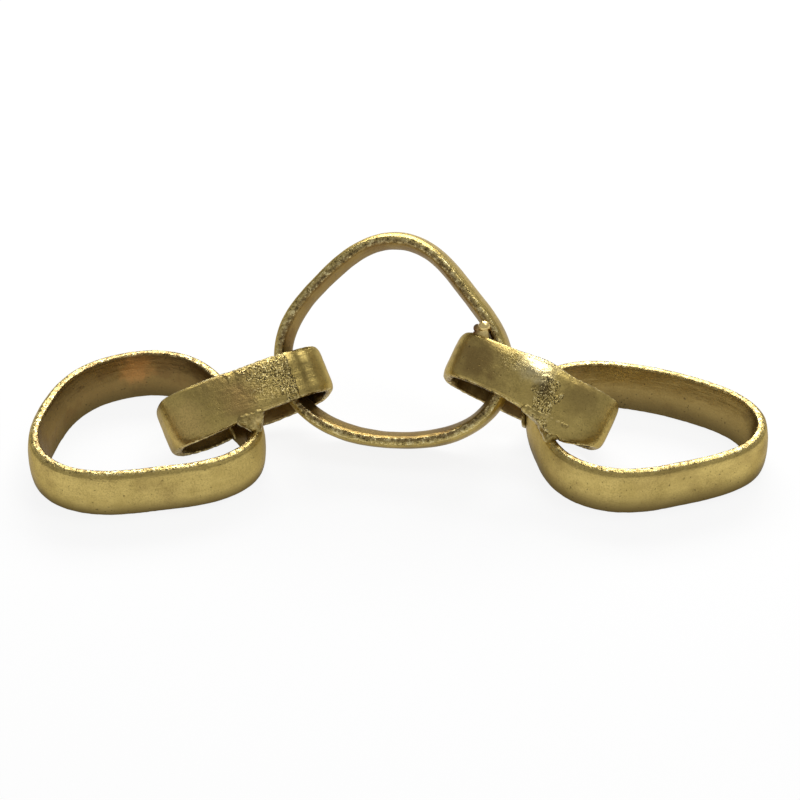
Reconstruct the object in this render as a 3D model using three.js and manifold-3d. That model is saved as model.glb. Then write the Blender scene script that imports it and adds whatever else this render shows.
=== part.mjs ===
// Chain link sculpture: three band rings and two oval connector links, sand-cast in brass.
// The outer rings lie flat, the centre ring stands between them and leans back, and each
// connector runs through the centre ring and is welded to the wall of an outer ring.
// Millimetres, +Z up, floor at z = 0, +X along the chain, front towards -Y.

import * as THREE from 'three';
import { mergeVertices } from 'three/addons/utils/BufferGeometryUtils.js';
import Module from 'manifold-3d';

// Band of the rings: a wall that swells at mid-height on both faces
const RING_BAND = 27.4;
const RING_EDGE = 4.8;
const RING_OUTER_CROWN = 1.8;
const RING_INNER_CROWN = 2.8;

// Band and loop of the connector links
const LINK_LENGTH = 95;
const LINK_BAND = 26.2;
const LINK_EDGE = 4;
const LINK_OUTER_CROWN = 1.7;
const LINK_INNER_CROWN = 1.1;
const LINK_PLAY = 4.5;
const LINK_SQUARENESS = 3;

// Rounding of every rim
const RIM_ROUND = 0.8;

// Outline of each ring in polar form: mean radius, then how far it is drawn out into an oval, into
// three corners, into flats and into a faint wave, each with the bearing of its first high point
const LEFT_RING = {
  radius: 57.3, oval: 1.2, ovalBearing: -7, corner: 4.9, cornerBearing: -21.8,
  flat: 1.4, flatBearing: -26, wave: 0.7, waveBearing: -8.8,
};
const CENTRE_RING = {
  radius: 56.6, oval: 3.2, ovalBearing: -8.5, corner: 4.1, cornerBearing: -27.5,
  flat: 1.2, flatBearing: -2, wave: 0, waveBearing: 0,
};
const RIGHT_RING = {
  radius: 54.4, oval: 6.5, ovalBearing: -13.8, corner: 4.7, cornerBearing: 2,
  flat: 1, flatBearing: -25, wave: 0.9, waveBearing: -4.4,
};

// Stance of the centre ring
const CENTRE_LEAN = 34.6;
const CENTRE_YAW = -9;

// How each connector hangs in the centre ring and where it meets its outer ring. A setback is
// measured from the link's end, an offset from its middle line towards the far band.
const LEFT_LINK = {
  side: 1, yaw: 24, pitch: -6.7, roll: -49.4, lift: 0.5,
  centreBearing: 204, centreSetback: 21.5, centreOffset: 1.1,
  outerBearing: 24.2, outerSetback: 42.9, outerOffset: 18.6,
};
const RIGHT_LINK = {
  side: -1, yaw: -15.3, pitch: 20.4, roll: -47, lift: 2.2,
  centreBearing: 349.6, centreSetback: 31.8, centreOffset: -1.4,
  outerBearing: 151.3, outerSetback: 40.5, outerOffset: 29.1,
};

// Welds: gap between pieces, leg of the fillets, and how far above an outer ring's rim its wall
// still parts the link
const FIT_GAP = 0.3;
const WELD_LEG = 2.4;
const PARTING_RISE = 4;

// Waisted welds that join a rim to a link: radius at the waist, flare at either end, depth to
// which they clasp what they join, and how much longer they are along the rim
const WEB_FLARE = 1.4;
const WEB_CLASP = 1.8;
const LEFT_WEB = { radius: 3, stretch: 1.3 };
const RIGHT_WEB = { radius: 3.4, stretch: 2 };

// Tack weld low behind the centre ring on the left: leg of its fillet, and its reach round the
// place where the two pieces meet
const TACK_LEG = 3;
const TACK_REACH = 8;

// Braze at the front of the centre ring on the right: a fillet with two beads. Each is set by
// its bearing on the ring, its distance in from the middle of the rim and its height off the rim.
const BRAZE_FILLET = { bearing: 15.5, inset: 2.6, proud: 0, radius: 1.7, stretch: 1.5 };
const BRAZE_BEADS = [
  { bearing: 18.9, inset: 3.6, proud: 0.8, radius: 2.6 },
  { bearing: 20, inset: 6.4, proud: -0.4, radius: 1.8 },
];

// Facets
const RING_STEPS = 60;
const LINK_STEPS = 48;
const CROWN_STEPS = 4;
const WELD_SIDES = 14;
const SEARCH_STEPS = 240;
const MERGE_DISTANCE = 1e-3;

const BRASS = { color: 0x9a7c32, roughness: 0.42, metalness: 1 };
const WELD_METAL = { color: 0xa8873a, roughness: 0.5, metalness: 1 };

const LINK_WALL = LINK_EDGE + LINK_OUTER_CROWN + LINK_INNER_CROWN;
const LINK_WIDTH = RING_BAND + 2 * (LINK_PLAY + LINK_WALL);

const wasm = await Module();
wasm.setup();

const radians = THREE.MathUtils.degToRad;

// Closed outline of a ring, counter-clockwise in its own XY plane
class RingOutline extends THREE.Curve {
  constructor(shape) {
    super();
    this.shape = shape;
  }

  getPoint(t, target = new THREE.Vector3()) {
    const { radius, oval, ovalBearing, corner, cornerBearing } = this.shape;
    const { flat, flatBearing, wave, waveBearing } = this.shape;
    const angle = 2 * Math.PI * t;
    const lobes = oval * Math.cos(2 * (angle - radians(ovalBearing)))
      + corner * Math.cos(3 * (angle - radians(cornerBearing)))
      + flat * Math.cos(4 * (angle - radians(flatBearing)))
      + wave * Math.cos(5 * (angle - radians(waveBearing)));
    const reach = radius + lobes;
    return target.set(reach * Math.cos(angle), reach * Math.sin(angle), 0);
  }
}

// Closed outline of a link: an oval with full corners
class LinkOutline extends THREE.Curve {
  constructor(length, width) {
    super();
    this.length = length;
    this.width = width;
  }

  getPoint(t, target = new THREE.Vector3()) {
    const angle = 2 * Math.PI * t;
    const full = (value) => Math.sign(value) * Math.abs(value) ** (2 / LINK_SQUARENESS);
    const along = (this.length / 2) * full(Math.cos(angle));
    return target.set(along, (this.width / 2) * full(Math.sin(angle)), 0);
  }
}

// Section of a band as [across, along] points; grow makes it larger on every side
function bandSection(band, edge, outerCrown, innerCrown, grow = 0) {
  const half = edge / 2;
  const round = Math.min(RIM_ROUND, half / 2);
  const points = [];
  const side = (sign, crown, from, to) => {
    for (let i = 0; i <= CROWN_STEPS; i++) {
      const along = from + ((to - from) * i) / CROWN_STEPS;
      const height = along / band;
      points.push([sign * (half + grow + crown * (1 - (2 * height - 1) ** 2)), along]);
    }
  };
  points.push([-half + round - grow, -grow], [half - round + grow, -grow]);
  side(1, outerCrown, round, band - round);
  points.push([half - round + grow, band + grow], [-half + round - grow, band + grow]);
  side(-1, innerCrown, band - round, round);
  points.push(points[0]);
  return points;
}

// A band bent round an outline: the section is turned on a lathe, then led along the outline
function bendBand(outline, section, steps) {
  const hub = 100;
  const profile = section.map(([across, along]) => new THREE.Vector2(hub + across, along));
  const lathe = new THREE.LatheGeometry(profile, steps);
  lathe.deleteAttribute('normal');
  lathe.deleteAttribute('uv');
  const band = mergeVertices(lathe, MERGE_DISTANCE);
  const corners = band.getAttribute('position');
  const corner = new THREE.Vector3();
  for (let i = 0; i < corners.count; i++) {
    corner.fromBufferAttribute(corners, i);
    const turn = (Math.atan2(corner.x, corner.z) / (2 * Math.PI) + 1) % 1;
    const across = Math.hypot(corner.x, corner.z) - hub;
    const place = outline.getPointAt(turn);
    const ahead = outline.getTangentAt(turn);
    corners.setXYZ(i, place.x + across * ahead.y, place.y - across * ahead.x, corner.y);
  }
  return band;
}

function ringBand(shape, grow = 0) {
  const section = bandSection(RING_BAND, RING_EDGE, RING_OUTER_CROWN, RING_INNER_CROWN, grow);
  return bendBand(new RingOutline(shape), section, RING_STEPS);
}

function linkOutline() {
  const inset = LINK_EDGE + 2 * LINK_OUTER_CROWN;
  return new LinkOutline(LINK_LENGTH - inset, LINK_WIDTH - inset);
}

function linkBand(grow = 0) {
  const section = bandSection(LINK_BAND, LINK_EDGE, LINK_OUTER_CROWN, LINK_INNER_CROWN, grow);
  return bendBand(linkOutline(), section, LINK_STEPS).translate(0, 0, -LINK_BAND / 2);
}

function solid(geometry) {
  const mesh = new wasm.Mesh({
    numProp: 3,
    vertProperties: new Float32Array(geometry.getAttribute('position').array),
    triVerts: new Uint32Array(geometry.index.array),
  });
  return new wasm.Manifold(mesh);
}

function geometryOf(body) {
  const { vertProperties, triVerts } = body.getMesh();
  const geometry = new THREE.BufferGeometry();
  geometry.setAttribute('position', new THREE.BufferAttribute(vertProperties, 3));
  geometry.setIndex(new THREE.BufferAttribute(triVerts, 1));
  return geometry;
}

// Solid of a band grown by some amount and set in its place
function placedRing(shape, place, grow = 0) {
  return solid(ringBand(shape, grow).applyMatrix4(place));
}

function placedLink(place, grow = 0) {
  return solid(linkBand(grow).applyMatrix4(place));
}

// Turn, then set down so that the lowest point of the geometry is at the given height
function standing(geometry, turn, height) {
  const turned = geometry.clone().applyMatrix4(turn);
  turned.computeBoundingBox();
  return new THREE.Matrix4().makeTranslation(0, 0, height - turned.boundingBox.min.z).multiply(turn);
}

function centrePlace() {
  const stance = new THREE.Euler(radians(90 - CENTRE_LEAN), 0, radians(CENTRE_YAW), 'ZXY');
  return standing(ringBand(CENTRE_RING), new THREE.Matrix4().makeRotationFromEuler(stance), 0);
}

// Point on the middle of a ring's wall at a bearing round its outline
function wallPoint(shape, bearing) {
  const turn = (((bearing % 360) + 360) % 360) / 360;
  return new RingOutline(shape).getPoint(turn).setZ(RING_BAND / 2);
}

// A link hangs in the centre ring: its loop is led to the ring's wall, at its own height
function linkPlace(link, centre) {
  const stance = new THREE.Euler(radians(link.roll), radians(link.pitch), radians(link.yaw), 'ZYX');
  const turn = new THREE.Matrix4().makeRotationFromEuler(stance);
  const hook = new THREE.Vector3(link.side * (LINK_LENGTH / 2 - link.centreSetback), link.centreOffset, 0);
  const wall = wallPoint(CENTRE_RING, link.centreBearing).applyMatrix4(centre);
  const move = wall.sub(hook.applyMatrix4(turn)).setZ(0);
  return new THREE.Matrix4().makeTranslation(move).multiply(standing(linkBand(), turn, link.lift));
}

// An outer ring lies on the floor with its wall led to its link
function outerPlace(shape, link, place) {
  const meet = new THREE.Vector3(-link.side * (LINK_LENGTH / 2 - link.outerSetback), link.outerOffset, 0);
  const move = meet.applyMatrix4(place).sub(wallPoint(shape, link.outerBearing)).setZ(0);
  return new THREE.Matrix4().makeTranslation(move);
}

// Points along the middle of a band: round a ring at some height, or along the near or far half
// of a link
function ringRim(shape, place, height) {
  const points = new RingOutline(shape).getSpacedPoints(SEARCH_STEPS);
  return points.map((point) => point.setZ(height).applyMatrix4(place));
}

function linkRim(place, along, face) {
  const points = linkOutline().getSpacedPoints(SEARCH_STEPS).filter((point) => face * point.y > 0);
  return points.map((point) => point.setZ(along).applyMatrix4(place));
}

function closestPair(first, second) {
  let best = { gap: Infinity };
  first.forEach((a, at) => {
    for (const b of second) {
      const gap = a.distanceTo(b);
      if (gap < best.gap) {
        best = { gap, a, b, along: first[(at + 1) % first.length].clone().sub(a).normalize() };
      }
    }
  });
  return best;
}

function closed(geometry) {
  geometry.deleteAttribute('normal');
  geometry.deleteAttribute('uv');
  return solid(mergeVertices(geometry, MERGE_DISTANCE));
}

// Waisted column from one point to another, longer in one direction across it
function waistedColumn(from, to, along, { radius, stretch }) {
  const half = from.distanceTo(to) / 2 + WEB_CLASP;
  const flare = radius * WEB_FLARE;
  const profile = [
    [0, -half], [flare, -half], [flare, -half + WEB_CLASP], [radius, -half / 3],
    [radius, half / 3], [flare, half - WEB_CLASP], [flare, half], [0, half],
  ];
  const column = new THREE.LatheGeometry(profile.map(([r, y]) => new THREE.Vector2(r, y)), WELD_SIDES);
  const axis = to.clone().sub(from).normalize();
  const across = along.clone().addScaledVector(axis, -along.dot(axis)).normalize();
  const turn = new THREE.Matrix4().makeBasis(across, axis, across.clone().cross(axis));
  turn.setPosition(from.clone().add(to).multiplyScalar(0.5));
  return closed(column.scale(stretch, 1, 1).applyMatrix4(turn));
}

function ball(radius) {
  return new THREE.SphereGeometry(radius, WELD_SIDES, WELD_SIDES / 2);
}

// A weld is the largest body left of what was cut
function weldPiece(name, body) {
  const [main] = body.decompose().sort((a, b) => b.volume() - a.volume());
  addPiece(name, geometryOf(main), WELD_METAL);
}

// Everything below the floor, which welds are ground flush with
function underFloor() {
  const span = 4 * (LINK_LENGTH + LEFT_RING.radius + CENTRE_RING.radius + RIGHT_RING.radius);
  return closed(new THREE.BoxGeometry(span, span, RING_BAND).translate(0, 0, -RING_BAND / 2));
}

// Everything inside a ring, from the floor up
function ringPlug(shape, place, grow) {
  const rim = new RingOutline(shape).getSpacedPoints(SEARCH_STEPS / 2).slice(0, -1);
  const { x, y } = new THREE.Vector3().setFromMatrixPosition(place);
  const scale = 1 + grow / shape.radius;
  const outline = new THREE.Shape(rim.map((point) => new THREE.Vector2(point.x * scale, point.y * scale)));
  const depth = 2 * RING_BAND;
  return closed(new THREE.ExtrudeGeometry(outline, { depth, bevelEnabled: false }).translate(x, y, 0));
}

const sculpture = new THREE.Group();

function addPiece(name, geometry, finish, place = new THREE.Matrix4()) {
  const mesh = new THREE.Mesh(geometry, new THREE.MeshStandardMaterial(finish));
  mesh.name = name;
  mesh.applyMatrix4(place);
  sculpture.add(mesh);
}

const centre = centrePlace();
const leftLink = linkPlace(LEFT_LINK, centre);
const rightLink = linkPlace(RIGHT_LINK, centre);
const leftRing = outerPlace(LEFT_RING, LEFT_LINK, leftLink);
const rightRing = outerPlace(RIGHT_RING, RIGHT_LINK, rightLink);

addPiece('left_ring', ringBand(LEFT_RING), BRASS, leftRing);
addPiece('centre_ring', ringBand(CENTRE_RING), BRASS, centre);
addPiece('right_ring', ringBand(RIGHT_RING), BRASS, rightRing);

// Each link is closed by the wall of its outer ring, which parts its far band. Fillets join the
// parted ends to the wall, and a web joins the rim to the near band that passes over it.
const centreRoom = placedRing(CENTRE_RING, centre, FIT_GAP);
const floor = underFloor();
const rise = new THREE.Matrix4().makeTranslation(0, 0, PARTING_RISE);
const sides = [
  { side: 'left', shape: LEFT_RING, ring: leftRing, link: leftLink, web: LEFT_WEB },
  { side: 'right', shape: RIGHT_RING, ring: rightRing, link: rightLink, web: RIGHT_WEB },
];
for (const { side, shape, ring, link, web } of sides) {
  const ringRoom = placedRing(shape, ring, FIT_GAP);
  const parting = ringRoom.add(placedRing(shape, rise.clone().multiply(ring), FIT_GAP));
  const body = placedLink(link).subtract(parting).subtract(centreRoom);
  addPiece(`${side}_link`, geometryOf(body), BRASS);

  const room = ringRoom.add(placedLink(link, FIT_GAP)).add(centreRoom).add(floor);
  const fillet = placedLink(link, WELD_LEG).intersect(placedRing(shape, ring, WELD_LEG)).subtract(room);
  weldPiece(`${side}_inner_weld`, fillet.intersect(ringPlug(shape, ring, -FIT_GAP / 2)));
  weldPiece(`${side}_outer_weld`, fillet.subtract(ringPlug(shape, ring, FIT_GAP / 2)));

  const rim = ringRim(shape, ring, RING_BAND);
  const meet = closestPair(rim, linkRim(link, -LINK_BAND / 2, -1));
  weldPiece(`${side}_rim_weld`, waistedColumn(meet.a, meet.b, meet.along, web).subtract(room));
}

// The left link bears on the back rim of the centre ring and is tacked to it there
const backRim = ringRim(CENTRE_RING, centre, 0);
const contact = closestPair(backRim, linkRim(leftLink, 0, 1));
const contactPlace = contact.a.clone().add(contact.b).multiplyScalar(0.5);
const tackReach = closed(ball(TACK_REACH).translate(...contactPlace));
const tackLegs = placedLink(leftLink, TACK_LEG).intersect(placedRing(CENTRE_RING, centre, TACK_LEG));
const tackRoom = centreRoom.add(placedLink(leftLink, FIT_GAP)).add(floor);
weldPiece('left_tack_weld', tackLegs.intersect(tackReach).subtract(tackRoom));

// The right link is brazed to the front rim of the centre ring
function frontPoint({ bearing, inset, proud }) {
  const outline = new RingOutline(CENTRE_RING);
  const ahead = outline.getTangent(bearing / 360);
  const inward = new THREE.Vector3(-ahead.y, ahead.x, 0);
  const point = outline.getPoint(bearing / 360).addScaledVector(inward, inset);
  return point.setZ(RING_BAND + proud).applyMatrix4(centre);
}

const foot = frontPoint(BRAZE_FILLET);
const edge = closestPair([foot], linkRim(rightLink, LINK_BAND / 2, -1)).b;
let braze = waistedColumn(foot, edge, new THREE.Vector3(1, 0, 0), BRAZE_FILLET);
for (const bead of BRAZE_BEADS) {
  braze = braze.add(closed(ball(bead.radius).translate(...frontPoint(bead))));
}
weldPiece('right_braze', braze.subtract(centreRoom).subtract(placedLink(rightLink, FIT_GAP)));

// Origin under the middle of the sculpture
const bounds = new THREE.Box3().setFromObject(sculpture, true);
const middle = bounds.getCenter(new THREE.Vector3());
sculpture.position.set(-middle.x, -middle.y, -bounds.min.z);

export default sculpture;
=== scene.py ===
"""Looks of the chain link sculpture: cast brass rings and links with their welds.

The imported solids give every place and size. Each ring and link is remade here as a fine band with
the unevenness of a sand casting, each weld as a lumpy bead, and all of them get brass finishes.
Sizes are in millimetres until a mesh is handed to Blender, which works in metres.
"""

from __future__ import annotations

import logging
import math
from collections.abc import Iterable
from dataclasses import dataclass, field
from enum import Enum
from typing import NamedTuple

import bmesh
import bpy
import numpy as np
from mathutils import Euler, Matrix, Vector, noise

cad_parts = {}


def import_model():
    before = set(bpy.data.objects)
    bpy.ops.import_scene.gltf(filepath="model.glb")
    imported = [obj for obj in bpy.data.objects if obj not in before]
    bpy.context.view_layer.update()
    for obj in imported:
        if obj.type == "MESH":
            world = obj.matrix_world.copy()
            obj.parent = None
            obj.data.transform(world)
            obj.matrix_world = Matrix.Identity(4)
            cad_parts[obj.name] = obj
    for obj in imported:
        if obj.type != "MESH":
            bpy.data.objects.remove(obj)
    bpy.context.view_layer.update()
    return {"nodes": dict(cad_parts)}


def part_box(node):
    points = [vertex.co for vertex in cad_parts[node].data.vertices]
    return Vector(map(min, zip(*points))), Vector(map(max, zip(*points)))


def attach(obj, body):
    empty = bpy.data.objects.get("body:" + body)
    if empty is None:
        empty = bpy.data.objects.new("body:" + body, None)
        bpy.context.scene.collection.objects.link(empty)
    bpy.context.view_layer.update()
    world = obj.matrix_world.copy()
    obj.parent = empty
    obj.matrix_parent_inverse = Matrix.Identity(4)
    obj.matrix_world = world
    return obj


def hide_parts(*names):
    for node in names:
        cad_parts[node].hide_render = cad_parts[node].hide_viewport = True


LOG = logging.getLogger("chain_sculpture")
BODY = "root"

# A millimetre in metres
MM = 0.001

# Points that are closer than this, in millimetres, are one point
TOUCH = 0.001

# Share of a turn that shows which way an outline runs
NEAR_TURN = 0.001

# Points of an outline from which its even steps are found
OUTLINE_SAMPLES = 2400

# A band is first spun round at this radius, as one sector that is then repeated
HUB = 200.0
SECTORS = 16

# Subdivisions of a ball of weld metal
BALL_FINENESS = 3

Colour = tuple[float, float, float]
Value = float | bpy.types.NodeSocket


class Mark(Enum):
    """Point attributes that tell a finish where it is on a band."""

    RIM = "rim"
    INNER = "inner"
    STRIP = "strip"


class Slot(Enum):
    """Names for the two kinds of finish; nothing in the script uses them."""

    CAST = "cast_brass"
    WELD = "weld_brass"


@dataclass(frozen=True)
class Section:
    """Wall of a band: a strip that swells at mid-height on both faces. Millimetres.

    A higher power keeps the swell full towards the rims, and the skirt fills the lower half of the
    inner face.
    """

    band: float
    edge: float
    outer_crown: float
    inner_crown: float
    outer_power: float
    inner_power: float
    outer_round: float
    inner_round: float
    skirt: float = 0.0
    rim_fade: float = 1.4

    def shaped(self, across: float, height: float) -> tuple[float, float]:
        """Move a point of the plain rectangular section to the crowned, rounded one.

        Args:
            across: Distance from the middle of the wall, positive on the outer face.
            height: Distance from the lower rim.

        Returns:
            The point's new distance across and height.
        """
        half = self.edge / 2
        outer = across > 0
        radius = self.outer_round if outer else self.inner_round
        past_side = abs(across) - (half - radius)
        past_rim = max(radius - height, height - (self.band - radius))
        if past_side > 0 and past_rim > 0:
            pull = 1 - radius / max(radius, math.hypot(past_side, past_rim))
            across -= math.copysign(past_side * pull, across)
            height -= math.copysign(past_rim * pull, height - self.band / 2)
        crown = self.outer_crown if outer else self.inner_crown
        rise = 2 * height / self.band - 1
        swell = 1 - abs(rise) ** (self.outer_power if outer else self.inner_power)
        if not outer and rise < 0:
            swell += self.skirt * (1 - swell)
        return across * (1 + crown * swell / half), height

    def rim_share(self, height: float) -> float:
        """How far a height counts as rim: 1 at the rim, fading to 0 down the faces."""
        return max(0.0, 1 - min(height, self.band - height) / self.rim_fade)


class Outline:
    """Closed plan of a band, counter-clockwise."""

    def point(self, turn: float) -> tuple[float, float]:
        """Point of the plan at a share of the full turn."""
        raise NotImplementedError

    def stepped(self, steps: int) -> tuple[np.ndarray, np.ndarray]:
        """Even steps along the plan.

        Args:
            steps: Number of steps round the whole plan.

        Returns:
            The points and the outward directions, one row for each step.
        """
        path = np.array([self.point(turn) for turn in np.linspace(0, 1, OUTLINE_SAMPLES + 1)])
        reach = np.concatenate([[0], np.cumsum(np.linalg.norm(np.diff(path, axis=0), axis=1))])
        wanted = np.arange(steps) / steps * reach[-1]
        points = np.stack([np.interp(wanted, reach, path[:, k]) for k in range(2)], axis=1)
        ahead = np.roll(points, -1, axis=0) - np.roll(points, 1, axis=0)
        ahead /= np.linalg.norm(ahead, axis=1)[:, None]
        return points, np.stack([ahead[:, 1], -ahead[:, 0]], axis=1)


@dataclass(frozen=True)
class RingOutline(Outline):
    """Rounded triangle in polar form: a radius drawn out into an oval, corners, flats and a wave."""

    radius: float
    oval: float
    oval_bearing: float
    corner: float
    corner_bearing: float
    flat: float
    flat_bearing: float
    wave: float = 0.0
    wave_bearing: float = 0.0

    def point(self, turn: float) -> tuple[float, float]:
        """Point of the plan.

        Args:
            turn: Share of the full turn.

        Returns:
            The point's two coordinates.
        """
        angle = math.tau * turn
        lobes = (
            (2, self.oval, self.oval_bearing),
            (3, self.corner, self.corner_bearing),
            (4, self.flat, self.flat_bearing),
            (5, self.wave, self.wave_bearing),
        )
        reach = self.radius
        for count, depth, bearing in lobes:
            reach += depth * math.cos(count * (angle - math.radians(bearing)))
        return reach * math.cos(angle), reach * math.sin(angle)


@dataclass(frozen=True)
class LinkOutline(Outline):
    """Oval with full corners, through the middle of the wall."""

    length: float
    width: float
    squareness: float

    def point(self, turn: float) -> tuple[float, float]:
        """Point of the plan.

        Args:
            turn: Share of the full turn.

        Returns:
            The point's two coordinates.
        """
        angle = math.tau * turn
        power = 2 / self.squareness
        along, across = math.cos(angle), math.sin(angle)
        return (
            self.length / 2 * math.copysign(abs(along) ** power, along),
            self.width / 2 * math.copysign(abs(across) ** power, across),
        )


@dataclass(frozen=True)
class Stance:
    """Turn of a band from lying flat, in degrees about X, then Y, then Z."""

    lean: float = 0.0
    pitch: float = 0.0
    yaw: float = 0.0

    def euler(self) -> Euler:
        """The turn in Blender's form."""
        return Euler([math.radians(angle) for angle in (self.lean, self.pitch, self.yaw)], "XYZ")


def beside(turn: float, middle: float, width: float) -> float:
    """How close a turn is to a middle one, from 0 to 1."""
    apart = ((turn - middle + 0.5) % 1 - 0.5) / width
    return math.exp(-(apart**2))


@dataclass(frozen=True)
class Droop:
    """A stretch where a band's lower rim reaches further down. Shares of a turn, millimetres."""

    turn: float
    width: float
    depth: float


@dataclass(frozen=True)
class Seam:
    """Rough seam across the outer face of a link, where it was closed.

    Turns and widths are shares of a full turn, rises are shares of the band's height, and the rest
    is in millimetres or plain factors.
    """

    turn: float
    width: float
    spread: float
    sharp: float
    lump: float
    lump_turn: float
    lump_width: float
    lump_rise: float
    lump_reach: float
    lift: float = 0.0
    droops: tuple[Droop, ...] = ()
    crease: float = 0.0
    crease_turn: float = 0.9
    crease_width: float = 0.012
    grit_rise: float = 1.2
    grit_fade: float = 0.2
    ragged: float = 0.7
    ragged_span: float = 4.0
    spread_power: float = 1.6
    firmness: float = 1.6

    def share(self, turn: float, rise: float, spot: Vector) -> float:
        """Share of rough metal, ragged at its edges.

        Args:
            turn: Share of the full turn.
            rise: Share of the band's height.
            spot: Point on the band, in millimetres.

        Returns:
            The share, from 0 to 1.
        """
        apart = (turn - self.turn + 0.5) % 1 - 0.5
        wide = 1 + self.spread * rise**self.spread_power if apart < 0 else self.sharp
        far = abs(apart) / (self.width * wide)
        far += self.ragged * noise.noise(spot / self.ragged_span)
        far += max(0.0, (rise - self.grit_rise) / self.grit_fade)
        return min(1.0, max(0.0, self.firmness * (1 - far)))

    def swell(self, turn: float, rise: float) -> float:
        """Height of the raised lump, less the crease beside it.

        Args:
            turn: Share of the full turn.
            rise: Share of the band's height.

        Returns:
            The height off the face.
        """
        above = (rise - self.lump_rise) / self.lump_reach
        lump = self.lump * beside(turn, self.lump_turn, self.lump_width) * math.exp(-(above**2))
        return lump - self.crease * beside(turn, self.crease_turn, self.crease_width)

    def widened(self, turn: float, rise: float) -> float:
        """How much further up the band reaches, or down where it is negative.

        Args:
            turn: Share of the full turn.
            rise: Share of the band's height.

        Returns:
            The move along the band's height.
        """
        up = self.lift * beside(turn, self.lump_turn, self.lump_width) * max(0.0, 2 * rise - 1)
        down = sum(droop.depth * beside(turn, droop.turn, droop.width) for droop in self.droops)
        return up - down * max(0.0, 1 - 2 * rise)


@dataclass(frozen=True)
class Patch:
    """A ragged round patch: its middle and radius in millimetres, and its share at the middle."""

    place: tuple[float, float, float]
    radius: float
    share: float

    def mask(self, nodes: Nodes, effects: Effects, place: bpy.types.NodeSocket) -> bpy.types.NodeSocket:
        """Put the patch into a material.

        Args:
            nodes: The material's nodes.
            effects: The shared node groups.
            place: Object coordinates.

        Returns:
            The patch's share at each point.
        """
        made = nodes.add(
            "Group",
            node_tree=effects.patch,
            Place=place,
            Middle=Vector(self.place) * MM,
            Radius=self.radius * MM,
            Share=self.share,
        )
        return made.outputs["Mask"]


@dataclass(frozen=True)
class TonedPatch(Patch):
    """A patch of another tone: some are real stains, some are painted shade and painted highlights."""

    tone: Colour


@dataclass(frozen=True)
class Casting:
    """Unevenness that sand casting and grinding leave: depths, and the lengths that they span."""

    wave: float = 0.32
    wave_span: float = 26.0
    ripple: float = 0.1
    ripple_span: float = 6.0
    rim_wave: float = 0.32
    rim_wave_span: float = 11.0
    rim_grit: float = 0.24
    rim_grit_span: float = 2.3
    rim_pit: float = 0.6
    rim_pit_span: float = 2.9
    pit_level: float = 0.2
    strip_grit: float = 0.45
    strip_span: float = 1.7

    def depth(self, spot: Vector, rim: float, strip: float) -> float:
        """How far a point of the surface stands proud of the plain band.

        Args:
            spot: Point on the band, in millimetres.
            rim: Share of rim at the point.
            strip: Share of rough strip at the point.

        Returns:
            The height off the plain surface, in millimetres.
        """
        face = self.wave * noise.noise(spot / self.wave_span)
        face += self.ripple * noise.noise(spot / self.ripple_span)
        total = face * (1 - rim)
        if rim > 0:
            pit = max(0.0, -noise.noise(spot / self.rim_pit_span) - self.pit_level)
            rough = self.rim_wave * noise.noise(spot / self.rim_wave_span)
            rough += self.rim_grit * noise.noise(spot / self.rim_grit_span)
            total += rim * (rough - self.rim_pit * pit)
        if strip > 0:
            total += strip * self.strip_grit * noise.noise(spot / self.strip_span)
        return total


@dataclass(frozen=True)
class Fineness:
    """How finely a band is cut: steps round it, up each face and across each rim."""

    steps: int
    wall_cuts: int
    rim_cuts: int


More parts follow.
